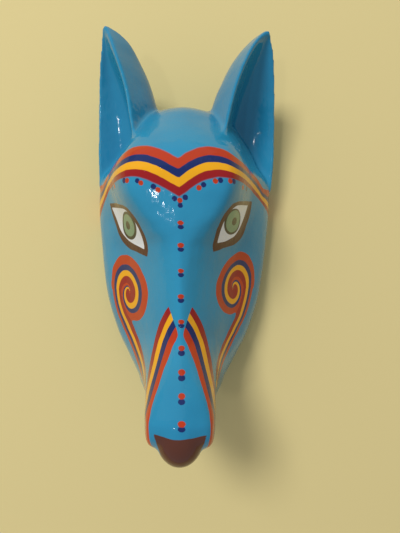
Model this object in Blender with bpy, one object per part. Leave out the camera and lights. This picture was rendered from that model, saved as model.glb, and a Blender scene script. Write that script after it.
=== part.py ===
"""Carved wooden coyote mask, hollow behind, lying on its back rim with its face up.

Run with: blender --background --python part.py
The snout points to -Y, the ears to +Y, and the rim lies in the plane z = 0.
Sizes below are millimetres. Places along the mask are measured from the narrow bridge below the eyes;
ORIGIN_ALONG moves the finished block so that its origin is the middle of its outline, at the rim.
Where a size differs between the sides, it is given for -1, the side towards -X, and for 1.
"""

import bmesh
import bpy
import numpy as np

MM = 0.001
ORIGIN_ALONG = 33.5

# The head: (place along the mask, size) pairs, joined by smooth curves.
RIDGE_HEIGHT = (
    (160.0, 0.0), (153.5, 44.0), (136.0, 90.0), (118.0, 110.0), (101.0, 126.0), (86.0, 136.0),
    (70.0, 140.5), (60.0, 140.0), (48.0, 138.3), (24.0, 135.0), (0.0, 131.8), (-28.0, 129.0),
    (-45.0, 128.4), (-58.0, 129.6), (-68.0, 139.0), (-94.0, 166.5), (-110.0, 176.0), (-121.0, 177.0),
)
HALF_WIDTH = {
    -1: ((160.0, 0.0), (143.0, 43.0), (130.0, 54.0), (113.0, 65.0), (99.0, 71.5), (80.0, 84.3), (58.0, 86.0),
         (17.0, 83.0), (-24.0, 77.8), (-65.0, 65.6), (-86.0, 55.0), (-106.0, 43.5)),
    1: ((160.0, 0.0), (143.0, 43.0), (130.0, 54.0), (113.0, 67.5), (99.0, 74.5), (80.0, 86.2), (58.0, 86.0),
        (17.0, 83.0), (-24.0, 77.8), (-65.0, 65.6), (-86.0, 55.0), (-106.0, 43.5)),
}
SHOULDER_HALF_WIDTH = (
    (160.0, 0.0), (136.0, 30.0), (121.0, 34.0), (77.0, 38.0), (58.0, 34.0), (40.0, 24.0),
    (28.0, 14.0), (15.0, 7.5), (-50.0, 4.5), (-66.0, 6.5), (-86.0, 15.5), (-110.0, 23.5),
)
SHOULDER_DROP = (
    (160.0, 0.0), (136.0, 14.0), (105.0, 10.0), (77.0, 6.5), (58.0, 3.6), (40.0, 2.7),
    (28.0, 2.4), (0.0, 3.0), (-50.0, 2.5), (-66.0, 3.0), (-86.0, 6.5), (-110.0, 8.0),
)
FLANK_FULLNESS = {
    -1: ((160.0, 0.0), (130.0, 1.0), (113.0, -2.0), (104.0, -0.3), (92.0, 2.8), (84.0, 4.0), (77.0, 4.0),
         (58.0, 2.5), (40.0, 1.5), (28.0, 3.0), (0.0, 3.0), (-44.0, 3.5), (-65.0, 1.5), (-86.0, -1.5),
         (-106.0, -3.5)),
    1: ((160.0, 0.0), (130.0, 5.5), (113.0, 5.0), (104.0, 4.5), (94.0, 3.5), (84.0, 2.5), (77.0, 2.0),
        (58.0, 0.5), (40.0, 1.0), (28.0, 3.0), (0.0, 3.0), (-44.0, 3.5), (-65.0, 1.5), (-86.0, -1.5),
        (-106.0, -3.5)),
}
RIDGE_CREASE = ((160.0, 0.0), (85.0, 0.0), (60.0, 0.8), (40.0, 0.9), (-60.0, 1.0), (-100.0, 0.5))
RIM_BAND = 21.0
CROWN_START = 100.0

# The front of the snout: its profile and how boxy it is in plan, as (height, size) pairs.
FRONT_START = -106.0
FRONT_PROFILE = (
    (0.0, -122.0), (40.0, -127.0), (75.0, -129.5), (100.0, -129.0), (130.0, -134.0), (155.0, -134.5),
    (177.0, -126.0),
)
FRONT_SQUARENESS = ((0.0, 2.0), (100.0, 2.5), (130.0, 3.9), (160.0, 4.4), (177.0, 3.8))

# The snout leans to one side: (place along the mask, lean at DRIFT_HEIGHT).
SNOUT_DRIFT = ((80.0, 0.0), (30.0, 2.0), (-25.0, 3.3), (-62.0, 4.8), (-90.0, 5.6), (-135.0, 5.9))
DRIFT_HEIGHT = 165.0

NOSE_CENTRE = (0.0, -116.0, 156.0)
NOSE_RADII = (18.0, 24.0, 19.5)

# The ears: edges of a section, as (place along the mask, size) pairs.
EAR_START = 76.0
EAR_END = {-1: 207.0, 1: 205.3}
EAR_TIP = 9.0
CREST_X = {
    -1: ((76.0, 32.0), (94.0, 37.0), (109.0, 39.5), (128.0, 43.2), (142.5, 45.7), (159.4, 50.3), (176.8, 56.6),
         (193.1, 62.6), (201.0, 66.0), (208.3, 69.0)),
    1: ((76.0, 29.0), (107.3, 34.2), (118.1, 36.7), (131.6, 39.5), (144.3, 42.3), (158.2, 46.3), (172.2, 51.5),
        (189.2, 59.2), (202.2, 68.0), (206.8, 73.0)),
}
CREST_Z = ((76.0, 98.0), (105.0, 109.0), (121.0, 106.5), (166.0, 106.0), (189.0, 100.0), (207.0, 90.0))
EAR_OUTER_X = {
    -1: ((76.0, 82.6), (106.0, 82.6), (123.0, 81.9), (147.0, 80.7), (166.6, 79.3), (180.4, 77.7), (189.1, 75.9),
         (197.6, 74.0), (204.0, 72.3), (208.3, 69.8)),
    1: ((76.0, 86.8), (90.0, 87.7), (110.0, 88.0), (129.0, 87.4), (149.0, 85.8), (166.0, 84.0), (183.0, 81.7),
        (191.6, 80.2), (199.9, 77.4), (206.8, 73.6)),
}
EAR_INNER_X = {
    -1: ((76.0, 24.0), (139.0, 24.0), (155.1, 27.9), (171.1, 33.7), (185.7, 41.3), (197.1, 48.5), (204.2, 56.8),
         (206.2, 61.2), (208.3, 68.0)),
    1: ((76.0, 24.0), (139.0, 24.0), (156.2, 28.2), (166.3, 32.6), (177.8, 38.0), (187.5, 44.4), (196.3, 52.7),
        (202.2, 60.0), (205.4, 67.0), (206.8, 72.5)),
}
EAR_INNER_Z = ((76.0, 62.0), (139.0, 62.0), (173.0, 65.0), (199.0, 77.0), (207.0, 84.0))
EAR_KEEL_X = 71.0
EAR_KEEL_Z = (
    (76.0, -67.0), (140.0, -22.0), (162.0, 0.0), (183.0, 36.0), (191.0, 50.0), (197.0, 64.0), (207.0, 82.0),
)
EAR_EDGE = 2.4

# The scoop in each ear: a steep wall beside the crest drops to a long floor, which rises again to the
# ear's outer edge. Heights are (place along the mask, height) pairs.
FLOOR_Z = {
    -1: ((76.0, 42.0), (100.0, 46.0), (115.0, 49.0), (125.0, 51.5), (140.0, 55.5), (160.0, 62.0), (180.0, 71.0),
         (195.0, 80.5), (207.0, 90.0)),
    1: ((76.0, 34.0), (100.0, 37.0), (125.0, 42.0), (140.0, 47.5), (160.0, 58.0), (180.0, 70.0), (195.0, 80.5),
        (205.0, 89.0)),
}
EDGE_RISE = {
    -1: ((76.0, 2.0), (106.0, 3.0), (150.0, 2.5), (190.0, 1.0), (207.0, 0.0)),
    1: ((76.0, 3.0), (106.0, 5.0), (150.0, 4.5), (190.0, 1.5), (207.0, 0.0)),
}
SCOOP_END = {-1: 203.5, 1: 202.0}
SCOOP_LIP = 1.3
SCOOP_WALL_RUN = ((76.0, 6.0), (150.0, 5.5), (185.0, 6.0), (203.0, 3.0))
SCOOP_FOOT_RISE = 3.0
SCOOP_BELLY_PLACE = 0.45
SCOOP_BELLY_DROP = ((76.0, 2.0), (140.0, 2.0), (175.0, 0.8), (203.0, 0.0))
SCOOP_LID = 60.0
SCOOP_OVERHANG = 12.0

# The mouth: a wedge cut that follows the snout round.
MOUTH_HEIGHT = 108.0
MOUTH_BACK = -80.0
MOUTH_LENGTH = 50.0
MOUTH_HALF_WIDTH = 31.0
MOUTH_TURN = 1.35
MOUTH_DEPTH = 9.0
MOUTH_SHALLOWING = 0.8
MOUTH_OUTREACH = 12.0
MOUTH_HALF_OPENING = 9.0

# The hollow behind: the head's own form drawn in by the wall, and limited in height.
WALL = 11.0
RIDGE_WALL = 21.0
HOLLOW_CENTRE = 14.0
HOLLOW_REACH = 118.0
HOLLOW_SHRINK = 0.88
HOLLOW_HEIGHT = 112.0
HOLLOW_END_SQUARENESS = 5

BELOW_RIM = 5.0  # forms are made this far past the rim plane, then trimmed flat
SLAB_SIZE = (0.5, 0.8, 0.1)


def smooth_curve(points, place):
    """The smooth curve through (place, value) points, with no overshoot between them."""
    x, y = np.array(sorted(points), dtype=float).T
    step = np.diff(x)
    slope = np.diff(y) / step
    same_way = slope[:-1] * slope[1:] > 0
    both = np.where(same_way, slope[:-1] + slope[1:], 1.0)
    tangent = np.array([slope[0], *np.where(same_way, 2 * slope[:-1] * slope[1:] / both, 0.0), slope[-1]])
    place = np.clip(place, x[0], x[-1])
    i = np.clip(np.searchsorted(x, place, side="right") - 1, 0, len(step) - 1)
    t = (place - x[i]) / step[i]
    near = (1 + 2 * t) * (1 - t) ** 2 * y[i] + t * (1 - t) ** 2 * step[i] * tangent[i]
    far = t * t * (3 - 2 * t) * y[i + 1] + t * t * (t - 1) * step[i] * tangent[i + 1]
    return near + far


def rounded_curve(points, place):
    """Like smooth_curve, but it closes to zero as an ellipse does."""
    squares = [(at, value * value) for at, value in points]
    return np.sqrt(np.maximum(smooth_curve(squares, place), 0.0))


def smooth_path(corners, counts):
    """A smooth path through 2-D corners, with counts points on each stretch that has a count."""
    corners = np.array(corners, dtype=float)
    stretches = np.maximum(np.hypot(*np.diff(corners, axis=0).T), 1e-6)
    along = np.append(0.0, np.cumsum(stretches))
    samples = [0.0]
    for start, end, count in zip(along[:-1], along[1:], counts):
        samples.extend(np.linspace(start, end, count + 1)[1:])
    across = smooth_curve(list(zip(along, corners[:, 0])), np.array(samples))
    up = smooth_curve(list(zip(along, corners[:, 1])), np.array(samples))
    return np.column_stack([across, up])


def at_place(y, across_up):
    """A section's (x, z) points placed at y."""
    return np.column_stack([across_up[:, 0], np.full(len(across_up), y), across_up[:, 1]])


def lean(points):
    """The points with the snout's lean to one side."""
    moved = np.array(points, dtype=float)
    moved[:, 0] += smooth_curve(SNOUT_DRIFT, moved[:, 1]) * np.maximum(moved[:, 2], 0) / DRIFT_HEIGHT
    return moved


def head_rib(side, y, counts, wall=0.0, ridge_wall=0.0):
    """One side of the head's section at y, from the rim up to the ridge, drawn in by the walls."""
    width = max(float(rounded_curve(HALF_WIDTH[side], y)) - wall, 0.0)
    height = max(float(rounded_curve(RIDGE_HEIGHT, y)) - ridge_wall, 0.0)
    shoulder = min(float(smooth_curve(SHOULDER_HALF_WIDTH, y)), 0.6 * width)
    drop = min(float(smooth_curve(SHOULDER_DROP, y)), 0.25 * height)
    band = min(RIM_BAND, 0.4 * height)
    fullness = float(smooth_curve(FLANK_FULLNESS[side], y)) * min(1.0, width / 60.0)
    flank = ((shoulder + width) / 2 + fullness, (height - drop + band) / 2 + fullness * 0.6)
    past_ridge = (-shoulder, height - drop + 2 * drop * float(smooth_curve(RIDGE_CREASE, y)))
    corners = [(width, 0.0), (width, band), flank, (shoulder, height - drop), (0.0, height), past_ridge]
    return smooth_path(corners, counts)


def head_rows(side, counts, spacing):
    """Rows of (x, y, z) points over one side of the head, from the crown's rim to the chin's rim."""
    crown_turn = np.linspace(np.pi / 2, 0, int(60 / spacing) + 5)
    crown = CROWN_START + (RIDGE_HEIGHT[0][0] - CROWN_START) * np.sin(crown_turn)
    body = np.linspace(CROWN_START, FRONT_START, int((CROWN_START - FRONT_START) / spacing) + 1)[1:]
    rows = [at_place(y, head_rib(side, y, counts)) for y in np.concatenate([crown, body])]
    last = rows[-1]
    for front_turn in np.linspace(0, np.pi / 2, int(110 / spacing) + 2)[1:]:
        row = last * np.cos(front_turn)
        square = smooth_curve(FRONT_SQUARENESS, row[:, 2])
        reach = (1 - np.cos(front_turn) ** square) ** (1 / square)
        row[:, 1] = FRONT_START + (smooth_curve(FRONT_PROFILE, row[:, 2]) - FRONT_START) * reach
        rows.append(row)
    return rows


def hollow_rows(side, counts, spacing):
    """Rows of (x, y, z) points over one side of the hollow, from end to end."""
    rows = []
    for turn in np.linspace(np.pi / 2, -np.pi / 2, int(230 / spacing)):
        y = HOLLOW_CENTRE + HOLLOW_REACH * np.sin(turn)
        outside = HOLLOW_CENTRE + (y - HOLLOW_CENTRE) / HOLLOW_SHRINK
        half = head_rib(side, outside, counts, WALL, RIDGE_WALL)
        half[:, 1] *= (1 + (half[:, 1] / HOLLOW_HEIGHT) ** 4) ** -0.25
        closing = np.sqrt(1 - abs(np.sin(turn)) ** HOLLOW_END_SQUARENESS)
        rows.append(at_place(y, half * closing))
    return rows


def mesh_object(name, points, faces):
    """A closed mesh object from leaned points in millimetres; points in one place become one."""
    mesh = bpy.data.meshes.new(name)
    placed = (lean(points) - (0.0, ORIGIN_ALONG, 0.0)) * MM
    mesh.from_pydata(placed.tolist(), [], faces)
    shape = bmesh.new()
    shape.from_mesh(mesh)
    bmesh.ops.remove_doubles(shape, verts=shape.verts, dist=1e-6)
    bmesh.ops.dissolve_degenerate(shape, edges=shape.edges, dist=1e-7)
    open_edges = [edge for edge in shape.edges if edge.is_boundary]
    if open_edges:
        bmesh.ops.holes_fill(shape, edges=open_edges)
    bmesh.ops.recalc_face_normals(shape, faces=shape.faces)
    shape.to_mesh(mesh)
    shape.free()
    part = bpy.data.objects.new(name, mesh)
    bpy.context.collection.objects.link(part)
    return part


def two_sided_grid(name, rows_of_side, counts, spacing):
    """A surface over the rows of both sides, with walls down past the rim plane."""
    full = []
    for left, right in zip(rows_of_side(-1, counts, spacing), rows_of_side(1, counts, spacing)):
        left = np.vstack([left[0] * (1, 1, 0) - (0, 0, BELOW_RIM), left]) * (-1, 1, 1)
        right = np.vstack([right[0] * (1, 1, 0) - (0, 0, BELOW_RIM), right])
        full.append(np.vstack([right, left[-2::-1]]))
    columns = len(full[0])
    faces = []
    for r in range(len(full) - 1):
        for c in range(columns - 1):
            a = r * columns + c
            faces.append((a, a + 1, a + columns + 1, a + columns))
    return mesh_object(name, np.vstack(full), faces)


def closed_loft(name, sections):
    """A solid skinned over closed sections of equal point counts, flat at both ends."""
    count = len(sections[0])
    faces = [tuple(range(count)), tuple(range((len(sections) - 1) * count, len(sections) * count))]
    for s in range(len(sections) - 1):
        for c in range(count):
            a = s * count + c
            b = s * count + (c + 1) % count
            faces.append((a, b, b + count, a + count))
    return mesh_object(name, np.vstack(sections), faces)


def ear_edges(side, y):
    """The two edges of an ear's open side at y, its crest and its outer edge, as (x, z)."""
    crest = (float(smooth_curve(CREST_X[side], y)), float(smooth_curve(CREST_Z, y)))
    edge_height = float(smooth_curve(FLOOR_Z[side], y) + smooth_curve(EDGE_RISE[side], y))
    outer = (float(smooth_curve(EAR_OUTER_X[side], y)), edge_height)
    return np.array(crest), np.array(outer)


def ear_object(name, side, spacing, counts):
    """One ear, solid, running down into the head; its open side is flat until it is scooped."""
    sections = []
    end = EAR_END[side]
    tip = end - EAR_TIP * (1 - np.sin(np.linspace(0, np.pi / 2, int(18 / spacing) + 2)))
    for y in np.append(np.arange(EAR_START, end - EAR_TIP - spacing / 2, spacing), tip):
        crest, outer = ear_edges(side, y)
        inner = (float(smooth_curve(EAR_INNER_X[side], y)), float(smooth_curve(EAR_INNER_Z, y)))
        keel = (EAR_KEEL_X, float(smooth_curve(EAR_KEEL_Z, y)))
        back = smooth_path([crest, inner, keel, outer], counts)
        back[:, 1] = np.maximum(back[:, 1], -BELOW_RIM)
        sections.append(at_place(y, back * (side, 1)))
    return closed_loft(name, sections)


def scoop_cutter(name, side, spacing, counts):
    """What the gouge takes out of an ear's open side: a steep wall beside the crest, then a long floor."""
    sections = []
    for y in np.arange(EAR_START - spacing, SCOOP_END[side] + spacing / 2, spacing):
        crest, outer = ear_edges(side, y)
        floor_height = float(smooth_curve(FLOOR_Z[side], y))
        near = crest + (SCOOP_LIP, 0.0)
        far = outer - (EAR_EDGE, 0.0)
        run = min(float(smooth_curve(SCOOP_WALL_RUN, y)), (far[0] - near[0]) / 2)
        foot = np.array([near[0] + run, floor_height + SCOOP_FOOT_RISE])
        belly = foot + (far - foot) * SCOOP_BELLY_PLACE
        belly[1] = floor_height - float(smooth_curve(SCOOP_BELLY_DROP, y))
        floor = smooth_path([near, foot, belly, far], counts)
        lid = [far + (SCOOP_OVERHANG, SCOOP_LID), near + (0.0, SCOOP_LID)]
        sections.append(at_place(y, np.vstack([floor, lid]) * (side, 1)))
    return closed_loft(name, sections)


def nose_object(name, segments, rings):
    """The nose pad: a rounded lobe at the end of the snout."""
    shape = bmesh.new()
    bmesh.ops.create_uvsphere(shape, u_segments=segments, v_segments=rings, radius=1.0)
    points = np.array([v.co[:] for v in shape.verts]) * NOSE_RADII + NOSE_CENTRE
    faces = [tuple(v.index for v in f.verts) for f in shape.faces]
    shape.free()
    return mesh_object(name, points, faces)


def mouth_cutter(name, count):
    """A wedge that follows the snout round below the upper lip, and dies out at its corners."""
    sections = []
    for turn in np.linspace(-1, 1, count):
        across = np.sin(turn * MOUTH_TURN)
        forward = np.cos(turn * MOUTH_TURN)
        place = np.array([across * MOUTH_HALF_WIDTH, MOUTH_BACK - forward * MOUTH_LENGTH, MOUTH_HEIGHT])
        outward = np.array([across, -forward, 0.0])
        opening = np.array([0.0, 0.0, MOUTH_HALF_OPENING])
        bottom = place - outward * MOUTH_DEPTH * (1 - MOUTH_SHALLOWING * turn * turn)
        lip = place + outward * MOUTH_OUTREACH
        sections.append(np.array([bottom, lip + opening, lip - opening]))
    return closed_loft(name, sections)


def slab_cutter(name):
    """Everything behind the rim plane."""
    bpy.ops.mesh.primitive_cube_add(size=1.0, location=(0.0, 0.0, -SLAB_SIZE[2] / 2))
    slab = bpy.context.object
    slab.name = name
    slab.scale = SLAB_SIZE
    bpy.ops.object.transform_apply(scale=True)
    return slab


def carve(block, tool, operation):
    """Join the tool to the block, or cut it out of the block."""
    step = block.modifiers.new(operation.title() + " " + tool.name, "BOOLEAN")
    step.operation = operation
    step.solver = "EXACT"
    step.object = tool
    tool.hide_render = True
    tool.display_type = "WIRE"


def enamel(name, colour):
    """Glossy paint of one colour."""
    material = bpy.data.materials.new(name)
    material.use_nodes = True
    shader = material.node_tree.nodes["Principled BSDF"]
    shader.inputs["Base Color"].default_value = (*colour, 1.0)
    shader.inputs["Roughness"].default_value = 0.15
    return material


def clear_scene():
    for old in list(bpy.data.objects):
        bpy.data.objects.remove(old, do_unlink=True)


clear_scene()
mask = two_sided_grid("coyote_mask", head_rows, (2, 6, 6, 4), 7.0)
mask.data.materials.append(enamel("blue_enamel", (0.05, 0.28, 0.5)))
carve(mask, nose_object("nose_pad", 20, 12), "UNION")
for side in (-1, 1):
    ear = ear_object(f"ear_{side}", side, 8.0, (4, 5, 5))
    carve(ear, scoop_cutter(f"scoop_{side}", side, 8.0, (2, 2, 3)), "DIFFERENCE")
    carve(mask, ear, "UNION")
carve(mask, mouth_cutter("mouth", 17), "DIFFERENCE")
carve(mask, two_sided_grid("hollow", hollow_rows, (1, 3, 4, 2), 14.0), "DIFFERENCE")
carve(mask, slab_cutter("behind_rim"), "DIFFERENCE")
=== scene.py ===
"""The finished coyote mask: one carved block of wood, smoothed, painted in gloss enamel, hollow behind.

Lengths are millimetres until a mesh is made. Places along the mask are measured from the narrow bridge
below the eyes, with the ears at +Y and the nose at -Y; the back rim lies in the plane z = 0.
"""

import bpy
import mathutils
import numpy as np
import openvdb
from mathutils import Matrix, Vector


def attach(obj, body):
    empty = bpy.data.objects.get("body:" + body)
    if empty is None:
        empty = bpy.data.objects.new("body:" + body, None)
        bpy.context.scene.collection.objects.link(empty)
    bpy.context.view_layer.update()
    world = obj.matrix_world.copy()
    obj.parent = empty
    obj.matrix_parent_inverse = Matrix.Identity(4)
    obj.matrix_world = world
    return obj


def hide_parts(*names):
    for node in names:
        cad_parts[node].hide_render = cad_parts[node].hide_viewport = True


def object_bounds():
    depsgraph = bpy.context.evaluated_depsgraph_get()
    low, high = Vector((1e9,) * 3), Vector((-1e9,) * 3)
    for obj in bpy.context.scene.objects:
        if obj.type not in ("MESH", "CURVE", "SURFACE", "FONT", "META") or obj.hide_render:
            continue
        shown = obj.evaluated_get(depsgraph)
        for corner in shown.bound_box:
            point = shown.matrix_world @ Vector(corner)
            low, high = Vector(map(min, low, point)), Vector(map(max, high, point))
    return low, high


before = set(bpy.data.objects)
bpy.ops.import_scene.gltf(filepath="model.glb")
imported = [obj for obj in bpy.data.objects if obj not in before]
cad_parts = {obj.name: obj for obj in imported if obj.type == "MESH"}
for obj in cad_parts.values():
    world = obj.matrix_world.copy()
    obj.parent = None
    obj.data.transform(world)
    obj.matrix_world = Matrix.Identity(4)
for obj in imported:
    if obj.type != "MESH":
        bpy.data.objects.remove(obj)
cad_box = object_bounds()

MM = 0.001
NODE = "coyote_mask"
PIECE = "coyote_mask_carving"
TIP_ALONG = 207.0
ORIGIN = np.array([0.0, TIP_ALONG - cad_box[1].y / MM, 0.0])

# The head: (place along the mask, size) pairs, joined by smooth curves. Where the sides differ, a table
# has one row for each: -1 is the left, 1 the right.
RIDGE_HEIGHT = (
    (160, 0), (153.5, 44), (136, 90), (118, 110), (101, 126), (86, 136), (70, 140.5), (60, 140),
    (48, 138.3), (24, 135), (0, 131.8), (-28, 129), (-45, 128.4), (-58, 129.6), (-68, 139), (-94, 166.5),
    (-110, 176), (-121, 177),
)
CROWN_HALF_WIDTH = ((160, 0), (143, 43), (130, 54))
CHEEK_HALF_WIDTH = ((58, 86), (17, 83), (-24, 77.8), (-65, 65.6), (-86, 55), (-106, 43.5))
HALF_WIDTH = {
    -1: (*CROWN_HALF_WIDTH, (113, 65), (99, 71.5), (80, 84.3), *CHEEK_HALF_WIDTH),
    1: (*CROWN_HALF_WIDTH, (113, 67.5), (99, 74.5), (80, 86.2), *CHEEK_HALF_WIDTH),
}
SHOULDER_HALF_WIDTH = (
    (160, 0), (136, 30), (121, 34), (77, 38), (58, 34), (40, 24), (28, 14), (15, 7.5), (-50, 4.5),
    (-66, 6.5), (-86, 15.5), (-110, 23.5),
)
SHOULDER_DROP = (
    (160, 0), (136, 14), (105, 10), (77, 6.5), (58, 3.6), (40, 2.7), (28, 2.4), (0, 3), (-50, 2.5),
    (-66, 3), (-86, 6.5), (-110, 8),
)
CHEEK_FULLNESS = ((28, 3), (0, 3), (-44, 3.5), (-65, 1.5), (-86, -1.5), (-106, -3.5))
FLANK_FULLNESS = {
    -1: ((160, 0), (130, 1), (113, -2), (104, -0.3), (92, 2.8), (84, 4), (77, 4), (58, 2.5), (40, 1.5),
         *CHEEK_FULLNESS),
    1: ((160, 0), (130, 5.5), (113, 5), (104, 4.5), (94, 3.5), (84, 2.5), (77, 2), (58, 0.5), (40, 1),
        *CHEEK_FULLNESS),
}
RIDGE_CREASE = ((160, 0), (85, 0), (60, 0.8), (40, 0.9), (-60, 1), (-100, 0.5))
RIM_BAND = 21.0  # the upright band at the rim
CROWN_START = 100.0
CROWN_ARC = 60.0  # the length that the crown's rows are counted along; so is each ARC below
CROWN_MORE_ROWS = 5

# The most that the shoulders, their drop and the band may take of a narrow section's width or height.
SHOULDER_SHARE = 0.6
DROP_SHARE = 0.25
BAND_SHARE = 0.4
FULL_HALF_WIDTH = 60.0  # narrower sections have flatter flanks
FULLNESS_RISE = 0.6

# The front of the snout: its profile and how boxy it is in plan, as (height, size) pairs.
FRONT_START = -106.0
FRONT_ARC = 110.0
FRONT_PROFILE = ((0, -122), (40, -127), (75, -129.5), (100, -129), (130, -134), (155, -134.5), (177, -126))
FRONT_SQUARENESS = ((0, 2), (100, 2.5), (130, 3.9), (160, 4.4), (177, 3.8))

# The snout leans to one side: (place along the mask, lean at DRIFT_HEIGHT).
SNOUT_DRIFT = ((80, 0), (30, 2), (-25, 3.3), (-62, 4.8), (-90, 5.6), (-135, 5.9))
DRIFT_HEIGHT = 165.0

NOSE_CENTRE = (0, -116, 156)
NOSE_RADII = (18, 24, 19.5)

# The ears: edges of a section, as (place along the mask, size) pairs.
EAR_START = 76.0
EAR_END = {-1: 208.3, 1: 206.8}
EAR_TIP = 9.0
EAR_TIP_ARC = 18.0
CREST_X = {
    -1: ((76, 32), (94, 37), (109, 39.5), (128, 43.2), (142.5, 45.7), (159.4, 50.3), (176.8, 56.6),
         (193.1, 62.6), (201, 66), (208.3, 69)),
    1: ((76, 29), (107.3, 34.2), (118.1, 36.7), (131.6, 39.5), (144.3, 42.3), (158.2, 46.3), (172.2, 51.5),
        (189.2, 59.2), (202.2, 68), (206.8, 73)),
}
CREST_Z = ((76, 98), (105, 109), (121, 106.5), (166, 106), (189, 100), (207, 90))
EAR_OUTER_X = {
    -1: ((76, 82.6), (106, 82.6), (123, 81.9), (147, 80.7), (166.6, 79.3), (180.4, 77.7), (189.1, 75.9),
         (197.6, 74), (204, 72.3), (208.3, 69.8)),
    1: ((76, 86.8), (90, 87.7), (110, 88), (129, 87.4), (149, 85.8), (166, 84), (183, 81.7), (191.6, 80.2),
        (199.9, 77.4), (206.8, 73.6)),
}
EAR_INNER_X = {
    -1: ((76, 24), (139, 24), (155.1, 27.9), (171.1, 33.7), (185.7, 41.3), (197.1, 48.5), (204.2, 56.8),
         (206.2, 61.2), (208.3, 68)),
    1: ((76, 24), (139, 24), (156.2, 28.2), (166.3, 32.6), (177.8, 38), (187.5, 44.4), (196.3, 52.7),
        (202.2, 60), (205.4, 67), (206.8, 72.5)),
}
EAR_INNER_Z = ((76, 62), (139, 62), (173, 65), (199, 77), (207, 84))
EAR_KEEL_X = 71.0
EAR_KEEL_Z = ((76, -67), (140, -22), (162, 0), (183, 36), (191, 50), (197, 64), (207, 82))
EAR_EDGE = 2.4

# The scoop in each ear: a steep wall beside the crest drops to a long floor, which rises again to the
# ear's outer edge. Heights are (place along the mask, height) pairs.
FLOOR_Z = {
    -1: ((76, 42), (100, 46), (115, 49), (125, 51.5), (140, 55.5), (160, 62), (180, 71), (195, 80.5),
         (207, 90)),
    1: ((76, 34), (100, 37), (125, 42), (140, 47.5), (160, 58), (180, 70), (195, 80.5), (205, 89)),
}
EDGE_RISE = {
    -1: ((76, 2), (106, 3), (150, 2.5), (190, 1), (207, 0)),
    1: ((76, 3), (106, 5), (150, 4.5), (190, 1.5), (207, 0)),
}
SCOOP_END = {-1: 203.5, 1: 202.0}
SCOOP_LIP = 1.3
SCOOP_WALL_RUN = ((76, 6), (150, 5.5), (185, 6), (203, 3))
SCOOP_FOOT_RISE = 3.0
SCOOP_BELLY_PLACE = 0.45
SCOOP_BELLY_DROP = ((76, 2), (140, 2), (175, 0.8), (203, 0))
SCOOP_LID = 60.0  # the cutter's height
SCOOP_OVERHANG = 12.0

# The mouth: a wedge cut that follows the snout round.
MOUTH_HEIGHT = 108.0
MOUTH_BACK = -80.0
MOUTH_LENGTH = 50.0
MOUTH_HALF_WIDTH = 31.0
MOUTH_TURN = 1.35
MOUTH_DEPTH = 9.0
MOUTH_SHALLOWING = 0.8
MOUTH_OUTREACH = 12.0
MOUTH_HALF_OPENING = 9.0

# The hollow behind: the head's own form drawn in by the wall, and limited in height.
WALL = 11.0
RIDGE_WALL = 21.0
HOLLOW_CENTRE = 14.0
HOLLOW_REACH = 118.0
HOLLOW_SHRINK = 0.88
HOLLOW_HEIGHT = 112.0
HOLLOW_ARC = 230.0
HOLLOW_END_SQUARENESS = 5
HOLLOW_ROOF_SQUARENESS = 4

BELOW_RIM = 5.0  # forms are made this far past the rim plane, then trimmed flat

# The grid that the forms are joined and carved in, and the radii left where they meet.
CELL = 1.78
BAND_CELLS = 6
BLOCK_LOW = (-94, -142, -6)
BLOCK_HIGH = (96, 208, 182)
GRID_MARGIN = 8.0
FORM_SPACING = 2.2
EAR_FILLET = 3.5
NOSE_FILLET = 1.2
CUT_FILLET = 1.2
SOFTENINGS = 1

# The surface is evened out in rounds: each draws the points in by a part of the way, then back out.
EASINGS = 16
EASING_IN = 0.5
EASING_BACK = -0.52

# The points on each stretch of a section, and the sections of the mouth and the nose.
HEAD_COUNTS = (8, 24, 26, 16)
HOLLOW_COUNTS = (8, 20, 24, 12)
EAR_COUNTS = (20, 24, 24)
SCOOP_COUNTS = (24, 10, 14)
MOUTH_COUNT = 60
NOSE_RINGS = 40
NOSE_SEGMENTS = 60


def smooth_curve(points, place):
    """The smooth curve through (place, value) points, with no overshoot between them."""
    x, y = np.array(sorted(points), dtype=float).T
    step = np.diff(x)
    slope = np.diff(y) / step
    same_way = slope[:-1] * slope[1:] > 0
    both = np.where(same_way, slope[:-1] + slope[1:], 1.0)
    tangent = np.array([slope[0], *np.where(same_way, 2 * slope[:-1] * slope[1:] / both, 0.0), slope[-1]])
    place = np.clip(place, x[0], x[-1])
    i = np.clip(np.searchsorted(x, place, side="right") - 1, 0, len(step) - 1)
    t = (place - x[i]) / step[i]
    near = (1 + 2 * t) * (1 - t) ** 2 * y[i] + t * (1 - t) ** 2 * step[i] * tangent[i]
    far = t * t * (3 - 2 * t) * y[i + 1] + t * t * (t - 1) * step[i] * tangent[i + 1]
    return near + far


def rounded_curve(points, place):
    """Like smooth_curve, but it closes to zero as an ellipse does."""
    squares = [(at, value * value) for at, value in points]
    return np.sqrt(np.maximum(smooth_curve(squares, place), 0.0))


def smooth_path(corners, counts):
    """A smooth path through 2-D corners, with counts points on each stretch that has a count."""
    corners = np.array(corners, dtype=float)
    stretches = np.maximum(np.hypot(*np.diff(corners, axis=0).T), 1e-6)
    along = np.append(0.0, np.cumsum(stretches))
    samples = [0.0]
    for start, end, count in zip(along[:-1], along[1:], counts):
        samples.extend(np.linspace(start, end, count + 1)[1:])
    across = smooth_curve(list(zip(along, corners[:, 0])), np.array(samples))
    up = smooth_curve(list(zip(along, corners[:, 1])), np.array(samples))
    return np.column_stack([across, up])


def at_place(y, across_up):
    """A section's (x, z) points placed at y."""
    return np.column_stack([across_up[:, 0], np.full(len(across_up), y), across_up[:, 1]])


def lean_at(points):
    """How far the snout's lean moves each point towards +X."""
    return smooth_curve(SNOUT_DRIFT, points[:, 1]) * np.maximum(points[:, 2], 0) / DRIFT_HEIGHT


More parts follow.
